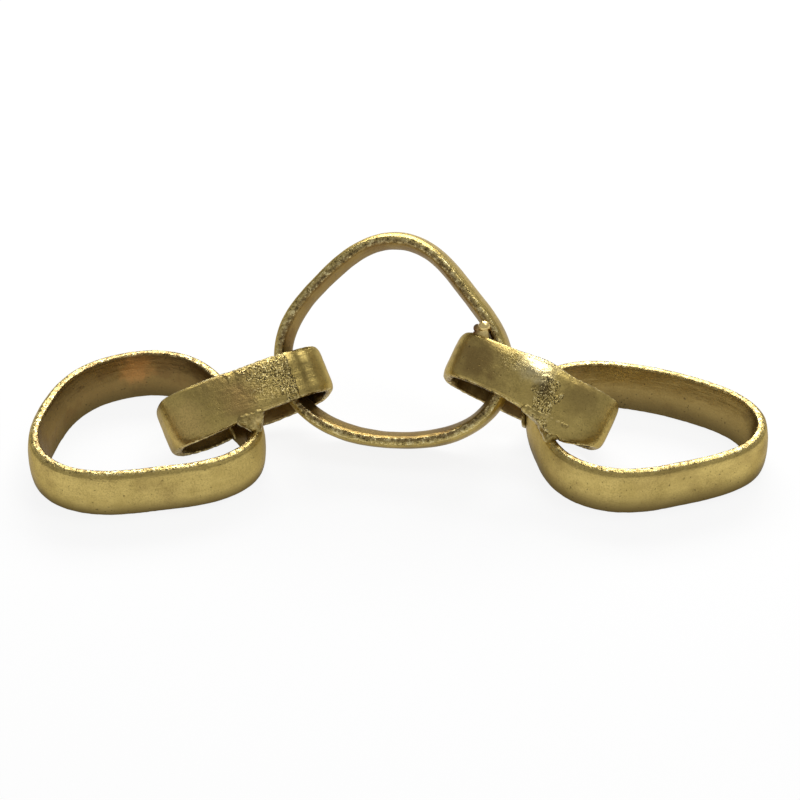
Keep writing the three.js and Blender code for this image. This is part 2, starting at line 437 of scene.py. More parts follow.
@dataclass
class Band:
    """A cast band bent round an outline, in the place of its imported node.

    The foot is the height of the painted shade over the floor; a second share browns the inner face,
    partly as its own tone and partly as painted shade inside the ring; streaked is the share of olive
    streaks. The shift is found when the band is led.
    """

    node: str
    section: Section
    outline: Outline
    stance: Stance
    fineness: Fineness
    casting: Casting = Casting()
    seam: Seam | None = None
    stains_and_painted_light: tuple[TonedPatch, ...] = ()
    polish_and_highlight: TonedPatch | None = None
    gritty: tuple[Patch, ...] = ()
    foot: float = 9.0
    inner_brown_and_shade: float = 0.78
    streaked: float = 0.4
    shift: Vector = field(default_factory=Vector)

    def swept(self, fineness: Fineness) -> bmesh.types.BMesh:
        """Spin the plain rectangular section into a closed round band.

        Args:
            fineness: How finely the band is cut.

        Returns:
            The round band about the Z axis, at the hub radius.
        """
        mesh = bmesh.new()
        half = self.section.edge / 2
        corners = ((-half, 0), (half, 0), (half, self.section.band), (-half, self.section.band))
        verts = [mesh.verts.new((HUB + across, 0, height)) for across, height in corners]
        edges = [mesh.edges.new((vert, verts[(i + 1) % 4])) for i, vert in enumerate(verts)]
        bmesh.ops.subdivide_edges(mesh, edges=edges[0::2], cuts=fineness.rim_cuts)
        bmesh.ops.subdivide_edges(mesh, edges=edges[1::2], cuts=fineness.wall_cuts)
        bmesh.ops.spin(
            mesh,
            geom=mesh.verts[:] + mesh.edges[:],
            axis=(0, 0, 1),
            angle=math.tau / SECTORS,
            steps=fineness.steps // SECTORS,
        )
        bmesh.ops.spin(
            mesh,
            geom=mesh.verts[:] + mesh.edges[:] + mesh.faces[:],
            axis=(0, 0, 1),
            angle=math.tau * (SECTORS - 1) / SECTORS,
            steps=SECTORS - 1,
            use_duplicate=True,
        )
        bmesh.ops.remove_doubles(mesh, verts=mesh.verts[:], dist=TOUCH)
        bmesh.ops.recalc_face_normals(mesh, faces=mesh.faces[:])
        return mesh

    def lead(self, mesh: bmesh.types.BMesh, steps: int, grow: float = 0.0, rise: float = 0.0) -> None:
        """Lead a round band along the outline and put it in its node's place.

        Args:
            mesh: Round band from swept.
            steps: Steps that it was swept in.
            grow: How much larger a cutting band is on every side. A cast band has none.
            rise: How much higher a cutting band's upper rim is.
        """
        points, outward = self.outline.stepped(steps)
        turned = self.stance.euler().to_matrix()
        marks = {mark: mesh.verts.layers.float.new(mark.value) for mark in Mark}
        half = self.section.edge / 2
        plain: list[Vector] = []
        pushes: list[Vector] = []
        for vert in mesh.verts:
            turn = (math.atan2(vert.co.y, vert.co.x) / math.tau) % 1
            step = round(turn * steps) % steps
            flat_across = math.hypot(vert.co.x, vert.co.y) - HUB
            flat_height = vert.co.z
            across, height = self.section.shaped(flat_across, flat_height)
            upward = math.copysign(1, flat_height - self.section.band / 2)
            on_rim = abs(flat_across) < half - TOUCH
            sideways = 0.0 if on_rim else math.copysign(1, across)
            push = Vector((*(outward[step] * sideways), upward if on_rim else 0.0))
            spot = Vector((*(points[step] + outward[step] * across), height))
            rim = self.section.rim_share(height)
            strip = lump = taller = 0.0
            if self.seam:
                level = height / self.section.band
                taller = self.seam.widened(turn, level)
                if across > 0:
                    strip = self.seam.share(turn, level, spot)
                    lump = self.seam.swell(turn, level)
            vert[marks[Mark.RIM]] = rim
            vert[marks[Mark.INNER]] = 1.0 if across < 0 else 0.0
            vert[marks[Mark.STRIP]] = strip
            plain.append(turned @ spot)
            if grow:
                lift = Vector((0, 0, rise if upward > 0 else 0))
                pushes.append(turned @ (push * grow + lift))
            else:
                proud = push * (lump + self.casting.depth(spot, rim, strip))
                pushes.append(turned @ (proud + Vector((0, 0, taller))))
        low, high = (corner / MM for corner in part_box(self.node))
        span = np.array(plain)
        self.shift = (low + high) / 2 - Vector((span.min(axis=0) + span.max(axis=0)) / 2)
        for vert, spot, push in zip(mesh.verts, plain, pushes):
            place = spot + self.shift + push
            if not grow:
                place.z = max(place.z, 0.0)
            vert.co = place * MM

    def line(self, across: float, height: float) -> np.ndarray:
        """Points round the placed band at one place of its plain section.

        Args:
            across: Distance from the middle of the wall, positive on the outer face.
            height: Distance from the lower rim.

        Returns:
            The points in millimetres, one row for each step.
        """
        points, outward = self.outline.stepped(self.fineness.steps)
        across, height = self.section.shaped(across, height)
        path = np.column_stack([points + outward * across, np.full(len(points), height)])
        return path @ np.array(self.stance.euler().to_matrix()).T + np.array(self.shift)

    def build(self) -> bpy.types.Object:
        """Make the fine band.

        Returns:
            The piece that stands for the band's node.
        """
        mesh = self.swept(self.fineness)
        self.lead(mesh, self.fineness.steps)
        return as_piece(mesh, f"{self.node}_cast", self.node)


@dataclass
class Ring(Band):
    """A ring, which can also cut the link that it parts."""

    cutter_fineness: Fineness = Fineness(steps=160, wall_cuts=12, rim_cuts=3)
    parting_gap: float = 0.15
    parting_rise: float = 4.0

    def cutter(self) -> bpy.types.Object:
        """Make a plain, slightly larger and higher ring that parts a link.

        Returns:
            The cutting ring, which is no piece of the sculpture.
        """
        mesh = self.swept(self.cutter_fineness)
        self.lead(mesh, self.cutter_fineness.steps, self.parting_gap, self.parting_rise)
        return as_object(mesh, f"{self.node}_cutter")

    def rim_spot(self, bearing: float, inset: float, proud: float) -> Vector:
        """Point on the upper rim.

        Args:
            bearing: Direction from the ring's middle, in degrees.
            inset: Distance in from the middle of the wall.
            proud: Distance above the rim.

        Returns:
            The placed point in millimetres.
        """
        turn = bearing / 360
        here, ahead = (Vector((*self.outline.point(turn + step), 0.0)) for step in (0.0, NEAR_TURN))
        along = (ahead - here).normalized()
        inward = Vector((-along.y, along.x, 0.0))
        spot = here + inward * inset + Vector((0.0, 0.0, self.section.band + proud))
        return self.stance.euler().to_matrix() @ spot + self.shift


@dataclass
class Link(Band):
    """A connector link whose far band is parted by the wall of a ring."""

    def part(self, piece: bpy.types.Object, ring: Ring) -> None:
        """Cut a ring's wall out of the link.

        Args:
            piece: The link's piece.
            ring: The ring whose wall parts it.
        """
        cutter = ring.cutter()
        cut = piece.modifiers.new("parting", "BOOLEAN")
        cut.operation = "DIFFERENCE"
        cut.solver = "EXACT"
        cut.object = cutter
        apply_modifiers(piece)
        bpy.data.objects.remove(cutter)
        mesh = bmesh.new()
        mesh.from_mesh(piece.data)
        keep_largest(mesh)
        mesh.to_mesh(piece.data)
        mesh.free()


@dataclass
class Weld:
    """A weld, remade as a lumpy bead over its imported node. Sizes in millimetres."""

    node: str
    voxel: float = 0.42
    soften: int = 8
    ease: float = 0.5
    fuse: float = 0.75
    lump: float = 0.22
    lump_span: float = 3.6
    grit: float = 0.1
    grit_span: float = 1.1

    def body(self, source: bpy.types.Object) -> bmesh.types.BMesh:
        """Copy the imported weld, with its corners merged.

        Args:
            source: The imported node's object.

        Returns:
            The body of the weld.
        """
        mesh = bmesh.new()
        mesh.from_mesh(source.data)
        bmesh.ops.remove_doubles(mesh, verts=mesh.verts[:], dist=TOUCH * MM)
        return mesh

    def build(self, mesh: bmesh.types.BMesh) -> bpy.types.Object:
        """Remesh a body of weld metal, soften it and roughen it.

        Args:
            mesh: The body, which may be made of shells that run into each other.

        Returns:
            The new piece.
        """
        piece = as_piece(mesh, f"{self.node}_bead", self.node)
        remesh = piece.modifiers.new("remesh", "REMESH")
        remesh.mode = "VOXEL"
        remesh.voxel_size = self.voxel * MM
        apply_modifiers(piece)
        mesh = bmesh.new()
        mesh.from_mesh(piece.data)
        keep_largest(mesh)
        for _ in range(self.soften):
            bmesh.ops.smooth_vert(
                mesh,
                verts=mesh.verts[:],
                factor=self.ease,
                use_axis_x=True,
                use_axis_y=True,
                use_axis_z=True,
            )
        mesh.normal_update()
        moves = []
        for vert in mesh.verts:
            spot = vert.co / MM
            height = self.fuse + self.lump * noise.noise(spot / self.lump_span)
            height += self.grit * noise.noise(spot / self.grit_span)
            moves.append(vert.normal * height * MM)
        for vert, move in zip(mesh.verts, moves):
            vert.co += move
            vert.co.z = max(vert.co.z, 0.0)
        for face in mesh.faces:
            face.smooth = True
        mesh.to_mesh(piece.data)
        mesh.free()
        return piece


def add_ball(mesh: bmesh.types.BMesh, centre: Vector, radius: float) -> None:
    """Add a ball of weld metal to a body, from millimetres."""
    place = Matrix.Translation(centre * MM)
    bmesh.ops.create_icosphere(mesh, subdivisions=BALL_FINENESS, radius=radius * MM, matrix=place)


@dataclass
class Web(Weld):
    """A web of weld metal from a ring's upper rim to the lower edge of a link that passes over it."""

    rim_reach: tuple[float, float] = (-4.0, 4.0)
    edge_reach: tuple[float, float] = (-6.0, 6.0)
    edge_inset: float = 0.25
    thick: float = 2.4
    rim_thick: float = 3.0
    rows: int = 14
    fewest_balls: int = 3
    spare_balls: int = 2
    uneven: float = 0.2
    uneven_span: float = 4.0

    def fill(self, ring: Ring, link: Link) -> bmesh.types.BMesh:
        """Fill the gap with balls that run into each other.

        Args:
            ring: The ring below.
            link: The link above.

        Returns:
            The body of the web.
        """
        rim = ring.line(0.0, ring.section.band)
        edge = link.line(link.section.edge * self.edge_inset, 0.0)[link.fineness.steps // 2 :]
        gaps = np.linalg.norm(rim[:, None] - edge[None], axis=2)
        at_rim, at_edge = np.unravel_index(gaps.argmin(), gaps.shape)
        rim_step, edge_step = (float(np.linalg.norm(path[1] - path[0])) for path in (rim, edge))
        mesh = bmesh.new()
        for row in np.linspace(0, 1, self.rows):
            along_rim = np.interp(row, (0, 1), self.rim_reach)
            along_edge = np.interp(row, (0, 1), self.edge_reach)
            low = Vector(rim[(at_rim + round(along_rim / rim_step)) % len(rim)])
            high = Vector(edge[min(max(at_edge + round(along_edge / edge_step), 0), len(edge) - 1)])
            needed = math.ceil((high - low).length / self.thick) + self.spare_balls
            for share in np.linspace(0, 1, max(self.fewest_balls, needed)):
                spot = low.lerp(high, share)
                size = self.rim_thick + (self.thick - self.rim_thick) * share
                add_ball(mesh, spot, size * (1 + self.uneven * noise.noise(spot / self.uneven_span)))
        LOG.info("%s: gap %.1f mm", self.node, gaps.min())
        return mesh


@dataclass(frozen=True)
class Bead:
    """A ball of braze on a ring's upper rim. Degrees and millimetres."""

    bearing: float
    inset: float
    proud: float
    radius: float


@dataclass
class Braze(Weld):
    """Beads on a ring's upper rim that run down to the upper edge of a link."""

    beads: tuple[Bead, ...] = ()
    run: float = 1.8
    run_balls: int = 7
    foot_reach: tuple[float, float] = (-4.0, 3.0)
    feet: int = 6
    shine_reach: float = 1.6
    burn_reach: float = 2.2
    burn_shift: float = 0.5
    glint_share: float = 0.95

    def spots(self, ring: Ring) -> list[Vector]:
        """Middles of the beads on a ring's rim."""
        return [ring.rim_spot(bead.bearing, bead.inset, bead.proud) for bead in self.beads]

    def glints(self, ring: Ring, bright: Colour, burnt: Colour) -> tuple[TonedPatch, ...]:
        """A painted highlight on the first bead, and burnt patches on the far sides of the others.

        Args:
            ring: The ring that carries the beads.
            bright: Tone of the painted highlight on the first bead.
            burnt: Tone of the others.

        Returns:
            The patches, one for each bead.
        """
        first, *others = self.spots(ring)
        glints = [TonedPatch(tuple(first), self.shine_reach * self.beads[0].radius, self.glint_share, bright)]
        for bead, spot in zip(self.beads[1:], others):
            middle = spot + (spot - first) * self.burn_shift
            glints.append(TonedPatch(tuple(middle), self.burn_reach * bead.radius, self.glint_share, burnt))
        return tuple(glints)

    def fill(self, ring: Ring, link: Link) -> bmesh.types.BMesh:
        """Put the beads on the rim and let the first run down to the link.

        Args:
            ring: The ring that carries the beads.
            link: The link in front.

        Returns:
            The body of the braze.
        """
        mesh = bmesh.new()
        spots = self.spots(ring)
        for bead, spot in zip(self.beads, spots):
            add_ball(mesh, spot, bead.radius)
        edge = link.line(0.0, link.section.band)[link.fineness.steps // 2 :]
        middle = np.linalg.norm(edge - np.array(spots[0]), axis=1).argmin()
        step = float(np.linalg.norm(edge[1] - edge[0]))
        for along in np.linspace(*self.foot_reach, self.feet):
            foot = Vector(edge[middle + round(along / step)])
            for share in np.linspace(0.0, 1.0, self.run_balls):
                add_ball(mesh, spots[0].lerp(foot, share), self.run)
        return mesh


def as_object(mesh: bmesh.types.BMesh, name: str) -> bpy.types.Object:
    """Turn a bmesh into a smooth-shaded object, and free it.

    Args:
        mesh: Finished mesh in metres.
        name: Name of the object.

    Returns:
        The new object, linked to the scene.
    """
    data = bpy.data.meshes.new(name)
    for face in mesh.faces:
        face.smooth = True
    mesh.to_mesh(data)
    mesh.free()
    made = bpy.data.objects.new(name, data)
    bpy.context.scene.collection.objects.link(made)
    return made


def as_piece(mesh: bmesh.types.BMesh, name: str, node: str) -> bpy.types.Object:
    """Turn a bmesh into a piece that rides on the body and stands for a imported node.

    Args:
        mesh: Finished mesh in metres.
        name: Name of the piece.
        node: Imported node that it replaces.

    Returns:
        The new piece.
    """
    piece = as_object(mesh, name)
    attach(piece, BODY)
    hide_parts(node)
    return piece


def apply_modifiers(piece: bpy.types.Object) -> None:
    """Make the result of a piece's modifiers its mesh.

    Args:
        piece: The piece, which has no modifiers afterwards.
    """
    bpy.context.view_layer.update()
    graph = bpy.context.evaluated_depsgraph_get()
    data = bpy.data.meshes.new_from_object(piece.evaluated_get(graph))
    old = piece.data
    piece.modifiers.clear()
    piece.data = data
    bpy.data.meshes.remove(old)


def keep_largest(mesh: bmesh.types.BMesh) -> None:
    """Merge corners that coincide and delete every island of faces but the largest.

    Args:
        mesh: Mesh in metres.
    """
    bmesh.ops.remove_doubles(mesh, verts=mesh.verts[:], dist=TOUCH * MM)
    bmesh.ops.dissolve_degenerate(mesh, edges=mesh.edges[:], dist=TOUCH * MM)
    spare = [vert for vert in mesh.verts if len(vert.link_edges) == 2]
    bmesh.ops.dissolve_verts(mesh, verts=spare)
    for face in mesh.faces:
        face.tag = False
    islands = []
    for start in mesh.faces:
        if start.tag:
            continue
        start.tag = True
        island = [start]
        for face in island:
            for other in (near for edge in face.edges for near in edge.link_faces):
                if not other.tag:
                    other.tag = True
                    island.append(other)
        islands.append(island)
    islands.sort(key=len)
    stray = [face for island in islands[:-1] for face in island]
    bmesh.ops.delete(mesh, geom=stray, context="FACES")


class Pattern(NamedTuple):
    """A noise pattern: its cells in a metre, its finer layers and how strong they are."""

    scale: float
    detail: float
    rough: float


class Span(NamedTuple):
    """A range of values, and the range that it is mapped onto."""

    low: float
    high: float
    start: float = 0.0
    end: float = 1.0


class Nodes:
    """Short ways to add and join nodes in one tree."""

    def __init__(self, tree: bpy.types.NodeTree) -> None:
        """Keep the tree that the nodes go into."""
        self.tree = tree

    def add(self, kind: str, **values: object) -> bpy.types.Node:
        """Add a node.

        Args:
            kind: Node type, without its ShaderNode prefix.
            **values: Properties of the node, or inputs by name with spaces as underscores. An
                output socket is joined, and anything else is set.

        Returns:
            The new node.
        """
        prefix = "" if kind.startswith("NodeGroup") else "ShaderNode"
        node = self.tree.nodes.new(prefix + kind)
        for name, value in values.items():
            if hasattr(node, name):
                setattr(node, name, value)
            else:
                self.feed(node.inputs[name.replace("_", " ")], value)
        return node

    def feed(self, socket: bpy.types.NodeSocket, value: object) -> None:
        """Join an output to an input, or set the input's value.

        Args:
            socket: The input.
            value: An output socket, or a value of the input's kind.
        """
        if isinstance(value, bpy.types.NodeSocket):
            self.tree.links.new(value, socket)
        else:
            socket.default_value = value

    def math(self, operation: str, first: Value, second: Value) -> bpy.types.NodeSocket:
        """Add a Math node.

        Args:
            operation: Blender's name of the operation.
            first: First operand.
            second: Second operand.

        Returns:
            The node's output.
        """
        node = self.add("Math", operation=operation)
        self.feed(node.inputs[0], first)
        self.feed(node.inputs[1], second)
        return node.outputs[0]

    def plus(self, first: Value, second: Value) -> bpy.types.NodeSocket:
        """Sum of two values."""
        return self.math("ADD", first, second)

    def times(self, first: Value, second: Value) -> bpy.types.NodeSocket:
        """Product of two values."""
        return self.math("MULTIPLY", first, second)

    def most(self, first: Value, second: Value) -> bpy.types.NodeSocket:
        """Larger of two values."""
        return self.math("MAXIMUM", first, second)

    def blend(self, first: Value, second: Value, share: float) -> bpy.types.NodeSocket:
        """Weighted sum of two values, with a share of the first and the rest of the second."""
        return self.plus(self.times(first, share), self.times(second, 1 - share))

    def ramp(
        self, value: Value, low: Value, high: Value, start: Value = 0.0, end: Value = 1.0
    ) -> bpy.types.NodeSocket:
        """Map a range of values smoothly onto another.

        Args:
            value: The value.
            low: Value that gives the start.
            high: Value that gives the end.
            start: Result at the low value and beyond it.
            end: Result at the high value and beyond it.

        Returns:
            The mapped value.
        """
        node = self.add("MapRange", interpolation_type="SMOOTHSTEP")
        for socket, number in zip(node.inputs, (value, low, high, start, end)):
            self.feed(socket, number)
        return node.outputs["Result"]

    def mix(self, share: Value, first: object, second: object) -> bpy.types.NodeSocket:
        """Mix two colours.

        Args:
            share: Share of the second colour.
            first: A colour or a socket.
            second: A colour or a socket.

        Returns:
            The mixed colour.
        """
        node = self.add("Mix", data_type="RGBA")
        self.feed(node.inputs[0], share)
        for socket, colour in zip(node.inputs[6:8], (first, second)):
            self.feed(socket, colour if isinstance(colour, bpy.types.NodeSocket) else (*colour, 1.0))
        return node.outputs[2]

    def noise(self, place: bpy.types.NodeSocket, pattern: Pattern) -> bpy.types.NodeSocket:
        """Add a noise texture.

        Args:
            place: Coordinates.
            pattern: Size and character of the noise.

        Returns:
            The noise's value.
        """
        scale, detail, rough = pattern
        node = self.add("TexNoise", Vector=place, Scale=scale, Detail=detail, Roughness=rough)
        return node.outputs[0]


def new_group(
    name: str, inputs: dict[str, str], outputs: tuple[str, ...]
) -> tuple[Nodes, bpy.types.Node, bpy.types.Node]:
    """Start a shader node group.

    Args:
        name: Name of the group.
        inputs: Input names and their socket types.
        outputs: Names of the outputs, all values.

    Returns:
        The tree's helper, its input node and its output node.
    """
    tree = bpy.data.node_groups.new(name, "ShaderNodeTree")
    for label, kind in inputs.items():
        tree.interface.new_socket(name=label, in_out="INPUT", socket_type=kind)
    for label in outputs:
        tree.interface.new_socket(name=label, in_out="OUTPUT", socket_type="NodeSocketFloat")
    nodes = Nodes(tree)
    return nodes, nodes.add("NodeGroupInput"), nodes.add("NodeGroupOutput")


@dataclass(frozen=True)
class GrainSizes:
    """Fine cast grain: its patterns, and where they turn into pits and dark speckle."""

    fine: Pattern = Pattern(1500.0, 3.0, 0.6)
    broad: Pattern = Pattern(420.0, 2.0, 0.5)
    fine_share: float = 0.45
    spots: Pattern = Pattern(620.0, 1.5, 0.5)
    pits: Span = Span(0.32, 0.25)
    pit_depth: float = 0.5
    speckle: Pattern = Pattern(1100.0, 2.0, 0.7)
    specks: Span = Span(0.42, 0.66)
    areas: Pattern = Pattern(60.0, 2.0, 0.5)
    speckled: Span = Span(0.3, 0.65, 0.45, 1.0)


@dataclass(frozen=True)
class StreakSizes:
    """Soft streaks along a band: how far they are drawn out, and their two widths."""

    stretch: tuple[float, float, float] = (0.12, 0.12, 1.0)
    wide: Pattern = Pattern(190.0, 2.0, 0.5)
    thin: Pattern = Pattern(700.0, 2.0, 0.5)
    wide_share: float = 0.65
    contrast: Span = Span(0.36, 0.64)


@dataclass(frozen=True)
class GritSizes:
    """Coarse ground grit: its patterns, and where they turn into tips and pits."""

    coarse: Pattern = Pattern(430.0, 3.0, 0.6)
    fine: Pattern = Pattern(1300.0, 2.0, 0.6)
    coarse_share: float = 0.7
    areas: Pattern = Pattern(95.0, 2.0, 0.5)
    worn: Span = Span(0.38, 0.58, 0.3, 1.0)
    tips: Span = Span(0.5, 0.6)
    peaks: Span = Span(0.55, 0.6)
    hollows: Span = Span(0.5, 0.45)
    pits: Span = Span(0.46, 0.37)


@dataclass(frozen=True)
class TarnishSizes:
    """Broad cloudy tarnish: a brown and an olive one."""

    clouds: Pattern = Pattern(34.0, 4.0, 0.6)
    brown: Span = Span(0.46, 0.68)
    drift: Pattern = Pattern(75.0, 3.0, 0.55)
    olive: Span = Span(0.4, 0.64)


@dataclass(frozen=True)
class PatchSizes:
    """Ragged edge of a patch: its pattern, and its reaches as shares of the radius."""

    ragged: Pattern = Pattern(160.0, 4.0, 0.65)
    raggedness: float = 1.4
    reach: float = 2.0


class Effects:
    """Node groups that the brass finishes share."""

    def __init__(self) -> None:
        """Build every group once."""
        self.grain = self.build_grain(GrainSizes())
        self.streaks = self.build_streaks(StreakSizes())
        self.grit = self.build_grit(GritSizes())
        self.tarnish = self.build_tarnish(TarnishSizes())
        self.patch = self.build_patch(PatchSizes())

    def build_grain(self, sizes: GrainSizes) -> bpy.types.NodeTree:
        """Fine cast grain with scattered pits and patches of dark speckle.

        Args:
            sizes: Patterns and limits.

        Returns:
            The group.
        """
        outputs = ("Height", "Pits", "Speckle")
        nodes, given, result = new_group("cast_grain", {"Place": "NodeSocketVector"}, outputs)
        place = given.outputs["Place"]
        fine, broad = nodes.noise(place, sizes.fine), nodes.noise(place, sizes.broad)
        height = nodes.blend(fine, broad, sizes.fine_share)
        pits = nodes.ramp(nodes.noise(place, sizes.spots), *sizes.pits)
        sunk = nodes.math("SUBTRACT", height, nodes.times(pits, sizes.pit_depth))
        specks = nodes.ramp(nodes.noise(place, sizes.speckle), *sizes.specks)
        areas = nodes.ramp(nodes.noise(place, sizes.areas), *sizes.speckled)
        nodes.feed(result.inputs["Height"], sunk)
        nodes.feed(result.inputs["Pits"], pits)
        nodes.feed(result.inputs["Speckle"], nodes.times(specks, areas))
        return nodes.tree

    def build_streaks(self, sizes: StreakSizes) -> bpy.types.NodeTree:
        """Soft streaks along a band, from its own upright direction.

        Args:
            sizes: Patterns and limits.

        Returns:
            The group.
        """
        nodes, given, result = new_group("band_streaks", {"Place": "NodeSocketVector"}, ("Streak",))
        drawn = nodes.add("Mapping", Vector=given.outputs["Place"], Scale=sizes.stretch).outputs[0]
        wide, thin = nodes.noise(drawn, sizes.wide), nodes.noise(drawn, sizes.thin)
        both = nodes.blend(wide, thin, sizes.wide_share)
        nodes.feed(result.inputs["Streak"], nodes.ramp(both, *sizes.contrast))
        return nodes.tree

    def build_grit(self, sizes: GritSizes) -> bpy.types.NodeTree:
        """Coarse ground grit for rims and rough strips, with bright tips and dark pits.

        Args:
            sizes: Patterns and limits.

        Returns:
            The group.
        """
        outputs = ("Height", "Tips", "Pits", "Peaks", "Hollows")
        nodes, given, result = new_group("ground_grit", {"Place": "NodeSocketVector"}, outputs)
        place = given.outputs["Place"]
        coarse = nodes.noise(place, sizes.coarse)
        height = nodes.blend(coarse, nodes.noise(place, sizes.fine), sizes.coarse_share)
        worn = nodes.ramp(nodes.noise(place, sizes.areas), *sizes.worn)
        nodes.feed(result.inputs["Height"], height)
        nodes.feed(result.inputs["Tips"], nodes.times(nodes.ramp(height, *sizes.tips), worn))
        nodes.feed(result.inputs["Peaks"], nodes.ramp(height, *sizes.peaks))
        nodes.feed(result.inputs["Hollows"], nodes.ramp(height, *sizes.hollows))
        nodes.feed(result.inputs["Pits"], nodes.ramp(height, *sizes.pits))
        return nodes.tree

    def build_tarnish(self, sizes: TarnishSizes) -> bpy.types.NodeTree:
        """Broad cloudy tarnish.

        Args:
            sizes: Patterns and limits.

        Returns:
            The group.
        """
        nodes, given, result = new_group("tarnish", {"Place": "NodeSocketVector"}, ("Brown", "Olive"))
        place = given.outputs["Place"]
        clouds, drift = nodes.noise(place, sizes.clouds), nodes.noise(place, sizes.drift)
        nodes.feed(result.inputs["Brown"], nodes.ramp(clouds, *sizes.brown))
        nodes.feed(result.inputs["Olive"], nodes.ramp(drift, *sizes.olive))
        return nodes.tree

    def build_patch(self, sizes: PatchSizes) -> bpy.types.NodeTree:
        """Ragged round patch about a middle point.

        Args:
            sizes: Pattern and reaches of its edge.

        Returns:
            The group.
        """
        kinds = {
            "Place": "NodeSocketVector",
            "Middle": "NodeSocketVector",
            "Radius": "NodeSocketFloat",
            "Share": "NodeSocketFloat",
        }
        nodes, given, result = new_group("ragged_patch", kinds, ("Mask",))
        place, middle, radius, share = (given.outputs[label] for label in kinds)
        apart = nodes.add("VectorMath", operation="DISTANCE")
        nodes.feed(apart.inputs[0], place)
        nodes.feed(apart.inputs[1], middle)
        ragged = nodes.times(nodes.noise(place, sizes.ragged), nodes.times(radius, sizes.raggedness))
        away = nodes.plus(apart.outputs["Value"], ragged)
        mask = nodes.ramp(away, nodes.times(radius, sizes.reach), radius, 0.0, share)
        nodes.feed(result.inputs["Mask"], mask)
        return nodes.tree


@dataclass(frozen=True)
class Brass:
    """A brass finish: bare metal under a thin clear coat."""

    roughness: float = 0.36
    coat: float = 0.12
    coat_roughness: float = 0.28

    def begin(
        self, name: str
    ) -> tuple[bpy.types.Material, Nodes, bpy.types.Node, bpy.types.NodeSocket]:
        """Start a material, with the values that are the same all over it.

        Args:
            name: Name of the material.

        Returns:
            The material, its nodes, its shader and its Object coordinates.
        """
        made = bpy.data.materials.new(name)
        made.use_nodes = True
        nodes = Nodes(made.node_tree)
        shader = made.node_tree.nodes["Principled BSDF"]
        shader.inputs["Metallic"].default_value = 1.0
        shader.inputs["Coat Weight"].default_value = self.coat
        shader.inputs["Coat Roughness"].default_value = self.coat_roughness
        return made, nodes, shader, nodes.add("TexCoord").outputs["Object"]


@dataclass(frozen=True)
class CastSurface:
    """What a cast finish knows about each point of a band, as sockets and placed groups."""

    place: bpy.types.NodeSocket
    inner: bpy.types.NodeSocket
    ground: bpy.types.NodeSocket
    strip: bpy.types.NodeSocket
    streak: bpy.types.NodeSocket
    tips: bpy.types.NodeSocket
    pits: bpy.types.NodeSocket
    grain: bpy.types.Node
    grit: bpy.types.Node
    crags: bpy.types.Node
    tarnish: bpy.types.Node
    polish_and_highlight: bpy.types.NodeSocket | None


